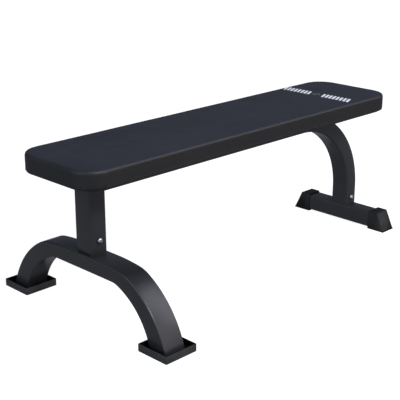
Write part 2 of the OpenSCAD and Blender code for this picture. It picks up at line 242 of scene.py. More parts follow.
def print_ink_grey():
    """A dark grey ink, for the lozenge."""
    s = Shader("print_ink_grey", (0.075, 0.085, 0.095), 0.55, specular=0.35)
    s.colour(s.mix(s.noise(900, 3), (0.05, 0.058, 0.066), (0.10, 0.11, 0.12)))
    s.bump(s.cells(720, "SMOOTH_F1"), 0.00006, 0.5)
    return s.material


def powder_coat():
    """Satin black powder coat: orange peel, and small changes of gloss."""
    s = Shader("powder_coat", (0.0105, 0.0112, 0.0125), 0.4, specular=0.4)
    drift = s.noise(9, 3)
    s.colour(s.mix(drift, (0.0106, 0.0112, 0.0126), (0.0140, 0.0148, 0.0166)))
    s.roughness(s.ramp(s.noise(30, 5), 0.3, 0.7, 0.29, 0.35))
    s.bump(s.noise(420, 2, 0.4), 0.00006, 0.35)
    s.bump(s.noise(1500, 2), 0.00002, 0.3)
    return s.material


def weld_coat():
    """The same coat over a weld's ripples, a little duller."""
    s = Shader("weld_coat", (0.0045, 0.0047, 0.0050), 0.7, specular=0.15)
    s.colour(s.mix(s.noise(60, 3), (0.0038, 0.0040, 0.0044), (0.0056, 0.0058, 0.0062)))
    s.roughness(s.ramp(s.noise(120, 4), 0.3, 0.7, 0.64, 0.78))
    s.bump(s.noise(900, 3), 0.00006, 0.5)
    return s.material


def rubber(name, tone, roughness=0.62, specular=0.32):
    """Moulded rubber: fine tooled texture with a slight bloom."""
    s = Shader(name, (tone, tone, tone * 1.08), roughness, specular=specular)
    tone_blend = s.ramp(s.noise(45, 4), 0.35, 0.75, 0, 1)
    dull = (tone * 0.85, tone * 0.86, tone * 0.92)
    dusty = (tone * 1.3, tone * 1.3, tone * 1.38)
    s.colour(s.mix(tone_blend, dull, dusty))
    s.roughness(s.ramp(s.noise(120, 4), 0.3, 0.7, roughness - 0.05, roughness + 0.06))
    s.bump(s.noise(1400, 3, 0.6), 0.00006, 0.5)
    return s.material


def moulded():
    """Moulded plastic with a spark-eroded grain."""
    s = Shader("moulded_black", (0.010, 0.010, 0.011), 0.5, specular=0.4)
    s.colour(s.mix(s.noise(50, 3), (0.0085, 0.0085, 0.0092), (0.0125, 0.0125, 0.0135)))
    s.bump(s.cells(1900), 0.00005, 0.5)
    return s.material


def zinc():
    """Bright zinc plating with faint tooling and clouding."""
    s = Shader("zinc", (0.30, 0.304, 0.316), 0.42, metallic=1.0)
    cloud = s.noise(140, 4)
    s.colour(s.mix(cloud, (0.24, 0.244, 0.256), (0.36, 0.364, 0.376)))
    s.roughness(s.ramp(s.noise(320, 3), 0.3, 0.7, 0.36, 0.48))
    s.bump(s.noise(1800, 2), 0.00002, 0.4)
    return s.material


def washer_black():
    """Black oxide on steel."""
    s = Shader("washer_black", (0.010, 0.010, 0.011), 0.42, metallic=0.3)
    s.colour(s.mix(s.noise(260, 3), (0.007, 0.007, 0.008), (0.014, 0.014, 0.015)))
    s.bump(s.noise(1500, 2), 0.00003, 0.4)
    return s.material


def plywood():
    """Bare plywood: veneers through the thickness, long grain on the faces."""
    s = Shader("plywood", (0.50, 0.34, 0.19), 0.62)
    veneer = s.node("TexWave", wave_type="BANDS", bands_direction="Z")
    veneer.inputs["Scale"].default_value = 130
    s.feed(s.place, veneer.inputs["Vector"])
    grain = s.noise(30, 5, 0.6, s.stretched((0.6, 9, 30)))
    mixed = s.math("ADD", s.math("MULTIPLY", veneer.outputs["Fac"], 0.5), s.math("MULTIPLY", grain, 0.5))
    s.colour(s.mix(mixed, (0.36, 0.23, 0.12), (0.60, 0.44, 0.27)))
    s.bump(grain, 0.0001, 0.5)
    return s.material


def backing_cloth():
    """Non-woven dust cloth: bonded fibres with a grid of weld points."""
    s = Shader("backing_cloth", (0.012, 0.012, 0.013), 0.9, specular=0.2)
    fibres = s.noise(260, 6, 0.8, s.stretched((1, 3.2, 1)))
    s.colour(s.mix(s.ramp(fibres, 0.35, 0.65, 0, 1), (0.006, 0.006, 0.007), (0.022, 0.022, 0.024)))
    points = s.cells(420)
    s.bump(s.ramp(points, 0.12, 0.3, 0, 1), 0.00015, 0.6)
    s.bump(fibres, 0.0001, 0.6)
    return s.material


# ---------- stage ----------

FLOOR_HALF = 30.0
FLOOR_LIFT = 0.88
FLOOR_CAMERA = (0.32, 0.32, 0.32)
FLOOR_GLOW = (0.283, 0.291, 0.318)

# Soft light from the room: the way it comes from, and its strength in red, green and blue
SKY_SEEN = (1.0, 1.0, 1.0)
SKY_SHARPNESS = 5
SKY_GLOWS = (
    ((-1, 0, 0.2), (2.9, 3.15, 3.7)),
    ((0, -1, 0.2), (2.12, 1.9, 2.16)),
    ((1, 1, 0.2), (0.17, 0.195, 0.25)),
)


def seen_directly(tree):
    """1 for what the camera sees itself, 0 for what only lights or reflects."""
    return tree.nodes.new("ShaderNodeLightPath").outputs["Is Camera Ray"]


def make_floor():
    """A floor that looks near white, and reflects in the bench as a dimmer one."""
    mesh = bpy.data.meshes.new("floor")
    corners = [(x * FLOOR_HALF, y * FLOOR_HALF, 0) for x, y in ((-1, -1), (1, -1), (1, 1), (-1, 1))]
    mesh.from_pydata(corners, [], [(0, 1, 2, 3)])
    floor = bpy.data.objects.new("floor", mesh)
    bpy.context.scene.collection.objects.link(floor)
    material = bpy.data.materials.new("floor")
    material.use_nodes = True
    tree = material.node_tree
    tree.nodes.clear()
    bright = tree.nodes.new("ShaderNodeBsdfDiffuse")
    bright.inputs["Color"].default_value = (*FLOOR_CAMERA, 1)
    lift = tree.nodes.new("ShaderNodeEmission")
    lift.inputs["Strength"].default_value = FLOOR_LIFT
    seen = tree.nodes.new("ShaderNodeAddShader")
    glow = tree.nodes.new("ShaderNodeEmission")
    glow.inputs["Color"].default_value = (*FLOOR_GLOW, 1)
    choose = tree.nodes.new("ShaderNodeMixShader")
    out = tree.nodes.new("ShaderNodeOutputMaterial")
    tree.links.new(bright.outputs[0], seen.inputs[0])
    tree.links.new(lift.outputs[0], seen.inputs[1])
    tree.links.new(seen_directly(tree), choose.inputs[0])
    tree.links.new(glow.outputs[0], choose.inputs[1])
    tree.links.new(seen.outputs[0], choose.inputs[2])
    tree.links.new(choose.outputs[0], out.inputs["Surface"])
    mesh.materials.append(material)


def area_light(name, where, aim, size, power, colour):
    """A rectangular lamp at a place, turned to a point."""
    data = bpy.data.lights.new(name, "AREA")
    data.shape = "RECTANGLE"
    data.size = size[0]
    data.size_y = size[1]
    data.energy = power
    data.color = colour
    lamp = bpy.data.objects.new(name, data)
    lamp.location = where
    lamp.rotation_mode = "QUATERNION"
    lamp.rotation_quaternion = (Vector(aim) - Vector(where)).to_track_quat("-Z", "Y")
    bpy.context.scene.collection.objects.link(lamp)


def make_world():
    """A white room to the eye, and a few soft glows as light on the bench."""
    world = bpy.data.worlds.new("world")
    bpy.context.scene.world = world
    world.use_nodes = True
    tree = world.node_tree
    direction = tree.nodes.new("ShaderNodeTexCoord").outputs["Generated"]

    def step(kind, operation, first, second):
        """A node's operation on two inputs, of which a socket is linked and a number is set."""
        made = tree.nodes.new(kind)
        made.operation = operation
        scale = made.inputs["Scale"] if operation == "SCALE" else made.inputs[1]
        for socket, value in ((made.inputs[0], first), (scale, second)):
            if isinstance(value, bpy.types.NodeSocket):
                tree.links.new(value, socket)
            else:
                socket.default_value = value
        return made.outputs["Value" if operation == "DOT_PRODUCT" else 0]

    glows = []
    for way, strength in SKY_GLOWS:
        towards = step("ShaderNodeVectorMath", "DOT_PRODUCT", direction, Vector(way).normalized())
        facing = step("ShaderNodeMath", "MAXIMUM", towards, 0)
        falloff = step("ShaderNodeMath", "POWER", facing, SKY_SHARPNESS)
        glows.append(step("ShaderNodeVectorMath", "SCALE", strength, falloff))
    total = glows[0]
    for glow in glows[1:]:
        total = step("ShaderNodeVectorMath", "ADD", total, glow)
    pick = tree.nodes.new("ShaderNodeMix")
    pick.data_type = "RGBA"
    pick.inputs[7].default_value = (*SKY_SEEN, 1)
    tree.links.new(total, pick.inputs[6])
    tree.links.new(seen_directly(tree), pick.inputs[0])
    tree.links.new(pick.outputs[2], tree.nodes["Background"].inputs["Color"])


# Lamps: name, place, point aimed at, size, power and colour
LAMPS = (
    ("key", (1.75, -1.55, 1.95), (-0.45, -0.2, 0.15), (1.5, 2.3), 42, (0.87, 0.875, 1.0)),
    ("low_key", (1.6, -2.6, 0.9), (0.0, 0.0, 0.25), (1.6, 1.6), 7.2, (1.0, 1.0, 1.0)),
    ("edge", (-0.6, -2.0, 2.1), (-0.45, -0.25, 0.15), (0.5, 0.5), 62, (0.96, 1.0, 0.97)),
)


def make_light():
    make_world()
    for lamp in LAMPS:
        area_light(*lamp)
    bpy.context.scene.view_settings.view_transform = "Standard"


# ---------- mesh helpers ----------


def new_object(name, mesh, material, smooth_below=35):
    """A piece of the bench: smooth shaded, sharp where faces meet at more than smooth_below degrees."""
    mesh.materials.append(material)
    for face in mesh.polygons:
        face.use_smooth = True
    mesh.set_sharp_from_angle(angle=math.radians(smooth_below))
    piece = bpy.data.objects.new(name, mesh)
    bpy.context.scene.collection.objects.link(piece)
    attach(piece, "root")
    return piece


def mesh_of(work, name):
    """Turns a bmesh into a mesh with its faces outwards."""
    bmesh.ops.recalc_face_normals(work, faces=work.faces)
    mesh = bpy.data.meshes.new(name)
    work.to_mesh(mesh)
    work.free()
    return mesh


LEAST_ROUND = 0.2 * MM
CORNER_STEPS = 6


def rounded_ring(w, h, r, steps=CORNER_STEPS):
    """Points round a rectangle w by h with rounded corners, counterclockwise."""
    r = max(r, LEAST_ROUND)
    points = []
    for cx, cy, start in ((1, 1, 0), (-1, 1, 90), (-1, -1, 180), (1, -1, 270)):
        for k in range(steps + 1):
            a = math.radians(start + 90 * k / steps)
            points.append((cx * (w / 2 - r) + r * math.cos(a), cy * (h / 2 - r) + r * math.sin(a)))
    return points


def loft(work, rings, closed=False):
    """Faces between rings of the same number of points. Gives back the rings of vertices."""
    made = [[work.verts.new(p) for p in ring] for ring in rings]
    count = len(made[0])
    pairs = list(zip(made, made[1:]))
    if closed:
        pairs.append((made[-1], made[0]))
    for first, second in pairs:
        for i in range(count):
            j = (i + 1) % count
            work.faces.new((first[i], first[j], second[j], second[i]))
    return made


TUBE_RIM = 0.5 * MM
RIM_BEND = 0.3 * TUBE_RIM


def tube(name, frames, radius, material):
    """A hollow tube with rounded corners and ends, through frames of (middle, u axis, v axis, w, h)."""

    def ring(index, inset, shift):
        middle, u, v, w, h = frames[index]
        along = (frames[1][0] - frames[0][0]) if index == 0 else (frames[-1][0] - frames[-2][0])
        at = middle + along.normalized() * shift
        flat = rounded_ring(w - 2 * inset, h - 2 * inset, radius - inset)
        return [at + u * a + v * b for a, b in flat]

    rim = TUBE_RIM
    last = len(frames) - 1
    between = range(1, last)
    rings = [ring(0, 0, rim)]
    rings += [ring(i, 0, 0) for i in between]
    rings += [ring(last, 0, -rim), ring(last, RIM_BEND, -RIM_BEND), ring(last, rim, 0)]
    rings += [ring(last, WALL - rim, 0), ring(last, WALL, -rim)]
    rings += [ring(i, WALL, 0) for i in reversed(between)]
    rings += [ring(0, WALL, rim), ring(0, WALL - rim, 0), ring(0, rim, 0), ring(0, RIM_BEND, RIM_BEND)]
    work = bmesh.new()
    loft(work, rings, closed=True)
    return new_object(name, mesh_of(work, name), material)


SAME_POINT = 1e-6
SAME_FACE = math.radians(0.6)


def softened(node, width, steps, sharp, above):
    """A CAD node's shape with its edges rounded over, where they are above a height and sharper than
    an angle in degrees. Gives back the shape and the faces of the rounded edges."""
    work = bmesh.new()
    work.from_mesh(NODES[node].data)
    bmesh.ops.remove_doubles(work, verts=work.verts, dist=SAME_POINT)
    bmesh.ops.dissolve_limit(work, angle_limit=SAME_FACE, verts=work.verts, edges=work.edges)
    edges = [
        e for e in work.edges
        if e.calc_face_angle(0) > math.radians(sharp) and min(v.co.z for v in e.verts) > above
    ]
    made = bmesh.ops.bevel(
        work, geom=edges, offset=width, offset_type="OFFSET", segments=steps,
        profile=0.5, affect="EDGES", clamp_overlap=True,
    )
    return work, set(made["faces"])


def refine(name, node, material, width):
    """A piece made from a CAD node's shape, with its sharp edges rounded over."""
    work = softened(node, width, steps=2, sharp=32, above=-1)[0]
    piece = new_object(name, mesh_of(work, name), material, smooth_below=50)
    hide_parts(node)


# ---------- end caps ----------

CAP_LIP = 3.4 * MM      # height of the lip, black with a painted contact shadow
CAP_MOUTH = 2.2 * MM    # length of the mouth, black with a painted shadow of the gap at the tube
CAP_EDGE = 0.9 * MM


def make_cap(name, node, material, painted_shade_material):
    """End cap of the stabiliser, with painted shade in black on its lip on the floor, at its mouth and on
    its edges.
    """
    low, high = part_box(node)
    mouth = min(abs(low.y), abs(high.y)) + CAP_MOUTH
    work, edge_faces = softened(node, CAP_EDGE, steps=3, sharp=25, above=2 * CAP_LIP)
    # Painted shade: the lip on the floor, the mouth at the tube and the rounded edges take the near-black
    # second material.
    for face in work.faces:
        middle = face.calc_center_median()
        painted_shade = face in edge_faces or middle.z < CAP_LIP or abs(middle.y) < mouth
        face.material_index = 1 if painted_shade else 0
    piece = new_object(name, mesh_of(work, name), material, smooth_below=50)
    piece.data.materials.append(painted_shade_material)
    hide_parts(node)


# ---------- pad ----------

PAD_INSET = 1.5 * MM    # how far inside the sides the shape that swells starts
PAD_DROP = 1.5 * MM     # and how far below the top
PAD_VOXEL = 5.5 * MM
PAD_CAP = 0.9 * MM      # the most that the cover swells
PAD_HELD = 12 * MM      # the height of cover that the board holds
PLAN_STEPS = 16
SIDE_STEPS = 6
SIM_FRAMES = 20
EASE_ROUNDS = 14


def outline(inset):
    """Points of the pad's plan outline, drawn in by a distance."""
    w = pad_high.x - pad_low.x - 2 * inset
    h = pad_high.y - pad_low.y - 2 * inset
    return [(PAD_X + x, y) for x, y in rounded_ring(w, h, PAD_CORNER - inset, PLAN_STEPS)]


def pad_rings():
    """Rings of the starting shape's side, from the underside to the top."""
    low, high = pad_low.z, pad_high.z - PAD_DROP
    angles = [math.radians(90 * i / SIDE_STEPS) for i in range(SIDE_STEPS + 1)]
    rings = []
    for a in angles:
        d = PAD_INSET + PAD_LOW_ROUND * (1 - math.sin(a))
        rings.append([(x, y, low + PAD_LOW_ROUND * (1 - math.cos(a))) for x, y in outline(d)])
    for a in angles:
        d = PAD_INSET + PAD_TOP_ROUND * (1 - math.cos(a))
        rings.append([(x, y, high - PAD_TOP_ROUND * (1 - math.sin(a))) for x, y in outline(d)])
    return rings


def evaluated_mesh(piece):
    """A new mesh of the piece as its modifiers leave it."""
    bpy.context.view_layer.update()
    graph = bpy.context.evaluated_depsgraph_get()
    return bpy.data.meshes.new_from_object(piece.evaluated_get(graph))


def coordinates(mesh):
    """The places of a mesh's points, one row each."""
    flat = np.zeros(len(mesh.vertices) * 3)
    mesh.vertices.foreach_get("co", flat)
    return flat.reshape(-1, 3)


def swap_mesh(piece, mesh):
    """Gives the piece a new mesh in place of its old one and its modifiers."""
    old = piece.data
    piece.modifiers.clear()
    piece.data = mesh
    bpy.data.meshes.remove(old)


def swelling(piece):
    """How far out the foam pushes each point of the cover, by cloth simulation, held at the board."""
    start = coordinates(piece.data)
    held = piece.vertex_groups.new(name="held")
    held.add([int(i) for i in np.where(start[:, 2] < pad_low.z + PAD_HELD)[0]], 1.0, "REPLACE")
    cloth = piece.modifiers.new("cloth", "CLOTH").settings
    cloth.quality = 5
    cloth.mass = 0.3
    cloth.tension_stiffness = 12
    cloth.compression_stiffness = 12
    cloth.shear_stiffness = 6
    cloth.bending_stiffness = 2
    cloth.use_pressure = True
    cloth.uniform_pressure_force = 4
    cloth.effector_weights.gravity = 0
    cloth.vertex_group_mass = "held"
    scene = bpy.context.scene
    scene.frame_start = 1
    scene.frame_end = SIM_FRAMES
    for step in range(1, SIM_FRAMES + 1):
        scene.frame_set(step)
    result = evaluated_mesh(piece)
    moved = coordinates(result) - start
    bpy.data.meshes.remove(result)
    scene.frame_set(1)
    piece.modifiers.clear()
    normals = np.zeros(len(start) * 3)
    piece.data.vertices.foreach_get("normal", normals)
    out = np.clip((moved * normals.reshape(-1, 3)).sum(axis=1), 0, PAD_CAP)
    return eased(piece.data, out)


def eased(mesh, values):
    """Values of the points, evened out over their neighbours."""
    ends = np.zeros(len(mesh.edges) * 2, dtype=np.int64)
    mesh.edges.foreach_get("vertices", ends)
    a, b = ends.reshape(-1, 2).T
    count = np.bincount(ends, minlength=len(values))
    for _ in range(EASE_ROUNDS):
        total = np.bincount(a, values[b], len(values)) + np.bincount(b, values[a], len(values))
        values = 0.5 * values + 0.5 * total / count
    return values


def smoothstep(value, low, high):
    """0 below low, 1 above high, and an even slope between."""
    t = np.clip((value - low) / (high - low), 0, 1)
    return t * t * (3 - 2 * t)


TINY = 1e-9


def plan_place(co):
    """Each point's distance inside the pad's plan outline, the way out, and its angle in a corner."""
    half_x = (pad_high.x - pad_low.x) / 2
    half_y = (pad_high.y - pad_low.y) / 2
    dx = np.abs(co[:, 0] - PAD_X) - (half_x - PAD_CORNER)
    dy = np.abs(co[:, 1]) - (half_y - PAD_CORNER)
    corner = (dx > 0) & (dy > 0)
    outside = np.where(corner, np.hypot(dx, dy), np.maximum(dx, dy))
    angle = np.arctan2(np.maximum(dy, 0), np.maximum(dx, TINY))
    angle = np.where(corner, angle, np.where(dx > dy, 0.0, math.pi / 2))
    way = np.stack([np.cos(angle) * np.sign(co[:, 0] - PAD_X), np.sin(angle) * np.sign(co[:, 1])], axis=1)
    return PAD_CORNER - outside, way, angle, corner


def settle(co, swell):
    """Moves points to the pad's true shape, less what the swelling leaves them short of it."""
    inset, way = plan_place(co)[:2]
    depth_top = pad_high.z - co[:, 2]
    depth_low = co[:, 2] - pad_low.z
    upper = depth_top < depth_low
    radius = np.where(upper, PAD_TOP_ROUND, PAD_LOW_ROUND)
    across = radius - inset
    over = radius - np.where(upper, depth_top, depth_low)
    rounded = (across > 0) & (over > 0)
    side = ~rounded & (across > over)
    reach = np.hypot(across, over)
    safe = np.maximum(reach, TINY)
    out_across = np.where(rounded, across / safe, side * 1.0)
    out_over = np.where(rounded, over / safe, (~side & ~rounded) * 1.0)
    gap = radius - np.where(rounded, reach, np.maximum(across, over))
    travel = gap - (PAD_CAP - swell) * np.where(upper | side, 1.0, 0.0)
    co[:, :2] += way * (out_across * travel)[:, None]
    co[:, 2] += np.where(upper, 1, -1) * out_over * travel


FOAM_WAVES = 7.0            # of the foam's unevenness, a metre
FOAM_UNEVEN = 0.25 * MM
WAIST_DEPTH = 0.4 * MM      # how far the long sides draw in
WAIST_INNER = 100 * MM      # distance from the middle line at which the drawing in starts
WAIST_OUTER = 130 * MM      # and from which it is whole
GATHERS = 11                # twice the folds at each corner
GATHER_DEPTH = 0.8 * MM
PLEAT_DEPTH = 0.9 * MM
RECESS_DEPTH = 1.9 * MM     # over the dust cloth


def dress_pad(mesh):
    """Adds the small shapes that tension gives the cover."""
    co = coordinates(mesh)
    inset, way, angle, corner = plan_place(co)
    for axis, (low, high) in enumerate(zip(pad_low, pad_high)):
        a, b = co[:, axis].min(), co[:, axis].max()
        co[:, axis] = low + (co[:, axis] - a) * (high - low) / (b - a)
    # a slow unevenness of the foam
    top = smoothstep(co[:, 2], pad_high.z - 9 * MM, pad_high.z - 3 * MM)
    uneven = np.array([noise.noise(Vector(p) * FOAM_WAVES) for p in co])
    co[:, 2] += top * uneven * FOAM_UNEVEN
    # long sides drawn in a little between the corners
    run = 1 - ((co[:, 0] - PAD_X) / (pad_high.x - PAD_X)) ** 2
    waist = smoothstep(co[:, 2], pad_low.z, pad_low.z + 14 * MM) * (1 - top)
    outer = smoothstep(np.abs(co[:, 1]), WAIST_INNER, WAIST_OUTER)
    co[:, 1] -= np.sign(co[:, 1]) * outer * run * waist * WAIST_DEPTH
    # gathers where the cover is folded under the corners
    low_edge = 1 - smoothstep(co[:, 2], pad_low.z + 3 * MM, pad_low.z + 13 * MM)
    fold = np.abs(np.sin(angle * GATHERS)) ** 1.6 - 0.4
    fade = np.clip(np.sin(angle * 2), 0, 1)
    pull = corner * low_edge * fade * fold * GATHER_DEPTH
    co[:, :2] -= way * (pull * (co[:, 2] > pad_low.z + 1 * MM))[:, None]
    # underside: flat margin, folded pleats at the corners, and a recess over the dust cloth
    under = (co[:, 2] < pad_low.z + 1.5 * MM) & (inset > PAD_LOW_ROUND - 1 * MM)
    recess = smoothstep(inset, COVER_MARGIN - 1 * MM, COVER_MARGIN + 3 * MM) * RECESS_DEPTH
    depth = smoothstep(inset, 6 * MM, 11 * MM) * PLEAT_DEPTH
    pleat = corner * fade * np.clip(fold, 0, 1) * depth
    raised = pad_low.z + np.maximum(recess, pleat)
    co[:, 2] = np.where(under, raised, np.maximum(co[:, 2], pad_low.z))
    mesh.vertices.foreach_set("co", co.ravel())
    mesh.update()


def make_pad(material):
    """The upholstered pad: starting shape, even mesh, swelling, true shape, and its small shapes."""
    work = bmesh.new()
    rings = loft(work, pad_rings())
    work.faces.new(rings[0][::-1])
    work.faces.new(rings[-1])
    piece = new_object("pad_upholstery", mesh_of(work, "pad_upholstery"), material)
    remesh = piece.modifiers.new("remesh", "REMESH")
    remesh.mode = "VOXEL"
    remesh.voxel_size = PAD_VOXEL
    remesh.use_smooth_shade = True
    swap_mesh(piece, evaluated_mesh(piece))
    co = coordinates(piece.data)
    swell = swelling(piece)
    settle(co, swell)
    piece.data.vertices.foreach_set("co", co.ravel())
    piece.data.update()
    finer = piece.modifiers.new("finer", "SUBSURF")
    finer.levels = 1
    finer.render_levels = 1
    swap_mesh(piece, evaluated_mesh(piece))
    dress_pad(piece.data)
    piece.data.materials.clear()
    piece.data.materials.append(material)
    for face in piece.data.polygons:
        face.use_smooth = True
    piece.vertex_groups.clear()
    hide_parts("pad_cover", "pad_foam")
    return piece


# ---------- print on the pad ----------

PRINT_X = 387.5 * MM
PRINT_TALL = 33 * MM
PRINT_LEAN = 13 * MM
BAR_WIDE = 7.6 * MM
BAR_PITCH = 12.4 * MM
BARS_EACH_SIDE = 8
BAR_FIRST = 26 * MM
PRINT_MIDDLE = 5 * MM
LOZENGE_OUTER = 13 * MM
LOZENGE_INNER = 7 * MM
LOZENGE_LONG = 1.25
INK_THICK = 0.15 * MM
INK_ALONG = 8
INK_ACROSS = 2


def ink_patch(work, surface, corners):
    """A thin slab of ink between four corners in plan, laid on the surface below it."""
    along, across = INK_ALONG, INK_ACROSS
    a, b, c, d = [Vector((x, y, 0)) for x, y in corners]
    sheets = []
    for lift in (INK_THICK, -INK_THICK):
        rows = []
        for i in range(along + 1):
            left = a.lerp(d, i / along)
            right = b.lerp(c, i / along)
            row = []
            for j in range(across + 1):
                p = left.lerp(right, j / across)
                hit = surface.ray_cast(Vector((p.x, p.y, 1.0)), Vector((0, 0, -1)))[0]
                row.append(work.verts.new((p.x, p.y, hit.z + lift)))
            rows.append(row)
        sheets.append(rows)
    top, low = sheets
    for rows, flip in ((top, False), (low, True)):
        for i in range(along):
            for j in range(across):
                face = (rows[i][j], rows[i][j + 1], rows[i + 1][j + 1], rows[i + 1][j])
                work.faces.new(face[::-1] if flip else face)
    rims = [
        ([r[0] for r in top], [r[0] for r in low]),
        ([r[-1] for r in low], [r[-1] for r in top]),
        (top[0][::-1], low[0][::-1]),
        (top[-1], low[-1]),
    ]
    for first, second in rims:
        for i in range(len(first) - 1):
            work.faces.new((first[i], first[i + 1], second[i + 1], second[i]))


def make_print(pad, white, grey):
    """A plain pattern in place of lettering: two rows of slanted bars, and a lozenge between them."""
    work = bmesh.new()
    work.from_mesh(pad.data)
    surface = BVHTree.FromBMesh(work)
    work.free()
    x0 = PRINT_X - PRINT_TALL / 2
    x1 = PRINT_X + PRINT_TALL / 2
    bars = bmesh.new()
    for side in (1, -1):
        for i in range(BARS_EACH_SIDE):
            y = PRINT_MIDDLE + side * (BAR_FIRST + BAR_PITCH * i) - PRINT_LEAN / 2
            near = y + BAR_WIDE / 2
            far = y - BAR_WIDE / 2
            ink_patch(bars, surface, [
                (x0, far), (x0, near), (x1, near + PRINT_LEAN), (x1, far + PRINT_LEAN),
            ])
    new_object("pad_print_bars", mesh_of(bars, "pad_print_bars"), white)

    def lozenge_point(x, y, size):
        return (PRINT_X + x * size, PRINT_MIDDLE + y * size)

    lozenge = bmesh.new()
    points = [(1, 0), (0, LOZENGE_LONG), (-1, 0), (0, -LOZENGE_LONG)]
    for a, b in zip(points, points[1:] + points[:1]):
        ink_patch(lozenge, surface, [
            lozenge_point(*a, LOZENGE_INNER), lozenge_point(*a, LOZENGE_OUTER),
            lozenge_point(*b, LOZENGE_OUTER), lozenge_point(*b, LOZENGE_INNER),
        ])
    new_object("pad_print_lozenge", mesh_of(lozenge, "pad_print_lozenge"), grey)


# ---------- frame ----------

UP = Vector((0, 0, 1))
ALONG = Vector((1, 0, 0))
ACROSS = Vector((0, 1, 0))
BEND_STEPS = 64
ARCH_STEPS = 84


def straight(start, end, u, v, w, h, count=8):
    """Frames of a straight run of tube."""
    return [(start.lerp(end, i / count), u, v, w, h) for i in range(count + 1)]


def make_spine(material):
    width = spine_high.y - spine_low.y
    centre_r = BEND_RADIUS + SPINE_DEPTH / 2
    bend_x = spine_high.x - SPINE_DEPTH - BEND_RADIUS
    bend_z = spine_high.z - SPINE_DEPTH - BEND_RADIUS
    top = spine_high.z - SPINE_DEPTH / 2
    start, end = Vector((spine_low.x, 0, top)), Vector((bend_x, 0, top))
    frames = straight(start, end, ACROSS, UP, width, SPINE_DEPTH, 12)
    for i in range(1, BEND_STEPS + 1):
        a = math.radians(90 * i / BEND_STEPS)
        out = Vector((math.sin(a), 0, math.cos(a)))
        frames.append((Vector((bend_x, 0, bend_z)) + out * centre_r, ACROSS, out, width, SPINE_DEPTH))
    start, end = Vector((LEG_X, 0, bend_z)), Vector((LEG_X, 0, spine_low.z))
    frames += straight(start, end, ACROSS, ALONG, width, SPINE_DEPTH)[1:]
    piece = tube("spine_and_leg", frames, TUBE_ROUND, material)
    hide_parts("spine_tube")


def make_post(material):
    frames = straight(
        Vector((POST_X, 0, post_low.z)), Vector((POST_X, 0, post_high.z)),
        ALONG, ACROSS, post_high.x - post_low.x, post_high.y - post_low.y)
    piece = tube("post", frames, POST_ROUND, material)
    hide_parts("front_post")


def make_stabiliser(material):
    side = stab_high.x - stab_low.x
    z = (stab_low.z + stab_high.z) / 2
    frames = straight(
        Vector((LEG_X, stab_low.y, z)), Vector((LEG_X, stab_high.y, z)), ALONG, UP, side, side)
    piece = tube("stabiliser", frames, FOOT_ROUND, material)
    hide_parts("rear_stabiliser")


def arc_point(p, a, length, turn, s):
    """Point at the distance s along a run that starts at p, at the angle a below level."""
    if turn == 0:
        return (p[0] + s * math.cos(a), p[1] - s * math.sin(a))
    r = length / turn
    b = a + turn * s / length
    return (p[0] + r * (math.sin(b) - math.sin(a)), p[1] + r * (math.cos(b) - math.cos(a)))


def walk(top, chain, s):
    """Point at the distance s along a chain of (length, turn) runs that starts level at height top."""
    p, a = (0.0, top), 0.0
    for length, turn in chain[:-1]:
        if s <= length:
            return arc_point(p, a, length, turn, s)
        p, a, s = arc_point(p, a, length, turn, length), a + turn, s - length
    length, turn = chain[-1]
    return arc_point(p, a, length, turn, s)


def chain_length(chain):
    return sum(run[0] for run in chain)


def with_leg(top, runs, radius):
    """The runs, and after them the leg's arc of this radius, down to the end of the arch."""
    chain = [(length, math.radians(turn)) for length, turn in runs]
    a = sum(run[1] for run in chain)
    z = walk(top, chain + [(1.0, 0.0)], chain_length(chain))[1]
    turn = math.acos(math.cos(a) - (z - ARCH_FOOT) / radius) - a
    return chain + [(radius * turn, turn)]


def make_arch(material):
    outer = with_leg(arch_high.z, ARCH_OUTER, ARCH_OUTER_RADIUS)
    inner = with_leg(ARCH_LOW, ARCH_INNER, ARCH_INNER_RADIUS)
    frames = []
    for i in range(-ARCH_STEPS, ARCH_STEPS + 1):
        f = abs(i) / ARCH_STEPS
        g = -1 if i < 0 else 1
        oy, oz = walk(arch_high.z, outer, f * chain_length(outer))
        iy, iz = walk(ARCH_LOW, inner, f * chain_length(inner))
        across = Vector((0, g * (oy - iy), oz - iz))
        middle = Vector((POST_X, g * (oy + iy) / 2, (oz + iz) / 2))
        frames.append((middle, ALONG, across.normalized(), arch_high.x - arch_low.x, across.length))
    piece = tube("arch_foot", frames, FOOT_ROUND, material)
    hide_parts("front_arch_foot")


# ---------- welds ----------

WELD_PITCH = 2.2 * MM   # from ripple to ripple
WELD_TUCK = 0.4 * MM    # how far a bead's root goes into the walls
WELD_STEPS = 6
RINGS_A_RIPPLE = 5
LEAST_RINGS = 8

# Legs of the beads
UNDER_LEG = 5 * MM
SIDE_LEG = 4.6 * MM
STUB_SIDE_LEG = 4.1 * MM
STUB_END_LEG = 2.9 * MM
BRACKET_LEG = 3.9 * MM

# How far from a corner the beads stop, or start
BEAD_SHORT = 2 * MM
STUB_SHORT = 5 * MM


